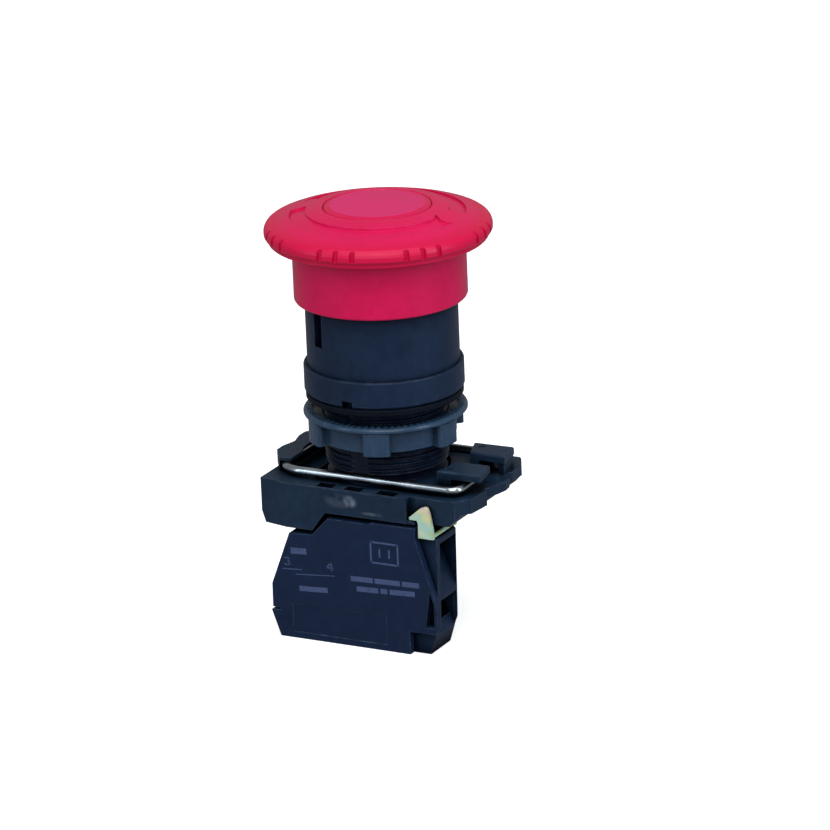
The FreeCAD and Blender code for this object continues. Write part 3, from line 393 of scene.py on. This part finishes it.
# Brass: its outer ends are painted near black as shade, and its recesses get painted shade.
BRASS = metal(
    "contact_brass", dark=(0.50, 0.36, 0.14), light=(0.68, 0.52, 0.24), rough=(0.26, 0.42),
    streak=900.0, brush=(0.2, 1.0, 1.0), tint=painted_end_shade, painted_shade_floor=0.0)
SILVER = metal(
    "silver_tip", dark=(0.70, 0.70, 0.69), light=(0.84, 0.84, 0.82), rough=(0.18, 0.30))
ZINC = metal(
    "passivated_zinc", dark=(0.80, 0.82, 0.66), light=(0.96, 0.95, 0.86), rough=(0.30, 0.46),
    streak=700.0, brush=(1.0, 1.0, 0.25), tint=passivate, metallic=0.5, pits=0.2)

FINISH = {
    "mushroom_head": RED, "centre_cap": CAP, "bezel": BLACK, "threaded_body": THREAD,
    "release_slide": BLACK_COLLAR, "bezel_gasket": RUBBER, "stem_seal": RUBBER,
    "panel_nut": SLATE, "collar_base": BLACK_COLLAR, "block_front_cover": BLACK_COVER,
    "block_rear_housing": BLACK, "cam_stem": WHITE, "pusher": WHITE, "contact_plunger": WHITE,
    "locking_wire": WIRE, "block_clip": ZINC, "moving_bridge": BRASS,
    "fixed_contact_left": BRASS, "fixed_contact_right": BRASS, "bridge_contact_tips": SILVER,
    "fixed_contact_tips": SILVER, "stem_retainer": SPRING,
}
for name, piece in NODES.items():
    fallback = SPRING if "spring" in name else STEEL
    piece.data.materials.clear()
    piece.data.materials.append(FINISH.get(name, fallback))

# ------------------------------------------------------------------ springs copied onto the bodies they ride
# Name, body it rides, joint that squashes it, anchor height, length, shortening (mm).
SPRINGS = (
    ("reset_spring", "housings", "press", 4.65, 19.8, 4.5),
    ("plunger_return_spring", "housings", "plunger_travel", -41.27, 13.2, 4.0),
    ("bridge_spring", "plunger_body", "bridge_lift", -22.65, 3.1, 1.6),
)
for name, body, joint, anchor_z, length, shortening in SPRINGS:
    coil = bpy.data.objects.new(name + "_coil", NODES[name].data.copy())
    scene.collection.objects.link(coil)
    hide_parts(name)
    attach(coil, body)
    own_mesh(coil)


# ------------------------------------------------------------------ printing on the cover
def ink():
    graph = Graph("worn_ink")
    gap = graph.span(graph.noise(scale=2400.0, rough=0.7), over=(0.30, 0.46))
    tone = graph.mix(graph.noise(scale=500.0), (0.042, 0.064, 0.150), (0.075, 0.108, 0.235))
    rough = graph.span(graph.noise(scale=900.0), over=(0.3, 0.7), to=(0.5, 0.65))
    graph.set(Base_Color=graph.mix(gap, (0.022, 0.036, 0.080), tone), Roughness=rough,
              Normal=graph.bump(graph.noise(scale=5000.0), strength=0.2, distance=0.00003),
              Specular_IOR_Level=0.2)
    return graph.material


def mesh_object(name, shape, material):
    mesh = bpy.data.meshes.new(name)
    shape.to_mesh(mesh)
    shape.free()
    mesh.materials.append(material)
    made = bpy.data.objects.new(name, mesh)
    scene.collection.objects.link(made)
    return made


INK = ink()
COVER_Y = -14.4 * MM
INK_BACK_Y = COVER_Y + 0.004 * MM
INK_FRONT_Y = COVER_Y - 0.012 * MM
OVERRUN = 0.28  # each stroke runs past its ends by this share of its width


def printed(name, width, strokes):
    """Thin slabs on the cover's face, one for each segment of each stroke."""
    shape = bmesh.new()
    for line in strokes:
        for (x0, z0), (x1, z1) in zip(line, line[1:]):
            run = Vector((x1 - x0, 0.0, z1 - z0))
            side = Vector((-run.z, 0.0, run.x)).normalized() * width / 2
            extra = run.normalized() * width * OVERRUN
            start = Vector((x0, 0.0, z0)) - extra
            end = Vector((x1, 0.0, z1)) + extra
            corners = (start - side, end - side, end + side, start + side)
            low, high = ([shape.verts.new((c.x * MM, y, c.z * MM)) for c in corners]
                         for y in (INK_BACK_Y, INK_FRONT_Y))
            shape.faces.new(low)
            shape.faces.new(high[::-1])
            for i in range(4):
                j = (i + 1) % 4
                shape.faces.new((low[i], high[i], high[j], low[j]))
    bmesh.ops.recalc_face_normals(shape, faces=shape.faces)
    marking = mesh_object(name, shape, INK)
    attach(marking, "housings")


def glyph(corner, size, lines):
    """Strokes given in shares of a box, placed at its low x, low z corner."""
    return [[(corner[0] + size[0] * x, corner[1] + size[1] * z) for x, z in line]
            for line in lines]


DIGIT_3 = [[(0.05, 0.9), (0.45, 1.0), (0.9, 0.84), (0.9, 0.64), (0.4, 0.53)],
           [(0.4, 0.53), (0.95, 0.4), (1.0, 0.16), (0.5, 0.0), (0.0, 0.1)]]
DIGIT_4 = [[(0.75, 0.0), (0.75, 1.0), (0.0, 0.3), (1.0, 0.3)]]
# Name, stroke width, strokes as lines of x, z points.
PRINTS = (
    ("print_digit_3", 0.26, glyph((-13.75, -29.2), (1.05, 1.4), DIGIT_3)),
    ("print_digit_4", 0.26, glyph((-5.4, -29.15), (1.35, 1.5), DIGIT_4)),
    ("print_symbol_lines", 0.16, [[(-14.2, -30.0), (-10.4, -29.75)],
                                  [(-11.6, -30.75), (-3.9, -30.1)]]),
    ("print_bar_a", 1.15, [[(-12.1, -26.4), (-9.6, -26.25)]]),
    ("print_bar_b", 0.95, [[(-10.75, -33.3), (-9.1, -33.22)], [(-8.55, -33.2), (-5.6, -33.0)]]),
    ("print_bars_c", 0.95, [[(-0.35, -30.05), (3.5, -29.95)], [(4.35, -29.93), (8.85, -29.8)],
                            [(9.75, -29.78), (12.6, -29.7)]]),
    ("print_bars_d", 0.95, [[(0.75, -31.85), (4.5, -31.72)], [(5.5, -31.65), (6.3, -31.63)],
                            [(7.3, -31.6), (11.7, -31.4)]]),
    ("print_pictogram", 0.34, [
        [(3.6, -26.5), (8.9, -26.5), (8.9, -22.7), (3.6, -22.7), (3.6, -26.5)],
        [(5.3, -25.3), (5.3, -23.9)], [(7.2, -25.3), (7.2, -23.9)]]),
)
for entry in PRINTS:
    printed(*entry)


# ------------------------------------------------------------------ floor and world
def pale_floor():
    """Near white to the camera, but darker to other rays so it bounces little light."""
    graph = Graph("pale_floor")
    tone = graph.noise(scale=6.0, rough=0.5)
    seen = graph.add("ShaderNodeLightPath").outputs["Is Camera Ray"]
    pale = graph.mix(tone, (0.90, 0.90, 0.91), (0.94, 0.94, 0.94))
    glow = 0.55
    graph.set(Base_Color=graph.mix(seen, (0.30, 0.30, 0.31), pale),
              Roughness=graph.span(tone, over=(0.3, 0.7), to=(0.75, 0.85)),
              Specular_IOR_Level=0.1, Emission_Color=WHITE_LIGHT,
              Emission_Strength=graph.times(seen, glow),
              Normal=graph.bump(graph.noise(scale=900.0), strength=0.03, distance=0.0001))
    return graph.material


FLOOR_GAP = 0.00005
grid = bmesh.new()
bmesh.ops.create_grid(grid, x_segments=2, y_segments=2, size=3.0)
floor = mesh_object("floor", grid, pale_floor())
floor.location = (0, 0, cad_box[0][2] - FLOOR_GAP)

# The world is full white to the camera and dimmer as a light.
world = bpy.data.worlds.new("studio")
scene.world = world
world.use_nodes = True
tree = world.node_tree
background = tree.nodes["Background"]
background.inputs["Color"].default_value = (*WHITE_LIGHT, 1.0)
path = tree.nodes.new("ShaderNodeLightPath")
level = tree.nodes.new("ShaderNodeMapRange")
level.inputs["To Min"].default_value = 0.30
level.inputs["To Max"].default_value = 1.0
tree.links.new(path.outputs["Is Camera Ray"], level.inputs["Value"])
tree.links.new(level.outputs["Result"], background.inputs["Strength"])
scene.view_settings.view_transform = "Standard"

# ------------------------------------------------------------------ lights and camera
AZIMUTH, ELEVATION, ROLL = (math.radians(angle) for angle in (28.35, 18.35, 2.4))
CAMERA_DISTANCE = 1.050
# Small turns, in radians, that set the origin off the middle of the view.
YAW, PITCH = 0.00501167156, 0.00389054262
to_camera = Vector((math.sin(AZIMUTH) * math.cos(ELEVATION),
                    -math.cos(AZIMUTH) * math.cos(ELEVATION), math.sin(ELEVATION)))
right = Vector((math.cos(AZIMUTH), math.sin(AZIMUTH), 0.0))
up = Vector((0, 0, 1))

COOL = (0.80, 0.89, 1.0)
# Name, direction as shares of to_camera, right and up, distance, size x and y, watts, colour.
LAMPS = (
    ("soft_front", (1.0, -0.06, 0.38), 0.9, (0.7, 0.7), 3.7, WHITE_LIGHT),
    ("soft_top", (0.35, 0.0, 1.0), 0.8, (0.7, 0.7), 3.0, WHITE_LIGHT),
    ("strip_left", (0.50, -1.0, 0.15), 0.75, (0.16, 0.8), 1.35, COOL),
    ("strip_right", (0.70, 1.0, 0.20), 0.75, (0.16, 0.8), 2.6, COOL),
)
for name, shares, distance, size, watts, colour in LAMPS:
    light = bpy.data.lights.new(name, "AREA")
    light.shape = "RECTANGLE"
    light.size, light.size_y = size
    light.energy = watts
    light.color = colour
    direction = to_camera * shares[0] + right * shares[1] + up * shares[2]
    lamp = bpy.data.objects.new(name, light)
    lamp.location = direction.normalized() * distance
    lamp.rotation_euler = (-direction).to_track_quat("-Z", "Y").to_euler()
    scene.collection.objects.link(lamp)

lens = bpy.data.cameras.new("camera")
lens.sensor_width = 36.0
lens.lens = 259.2
lens.clip_start = 0.01
camera = bpy.data.objects.new("camera", lens)
look = (-to_camera).to_track_quat("-Z", "Y").to_matrix().to_4x4()
camera.matrix_world = (
    Matrix.Translation(to_camera * CAMERA_DISTANCE) @ look @ Matrix.Rotation(-ROLL, 4, "Z")
    @ Matrix.Rotation(-YAW, 4, "Y") @ Matrix.Rotation(-PITCH, 4, "X"))
scene.collection.objects.link(camera)
scene.camera = camera
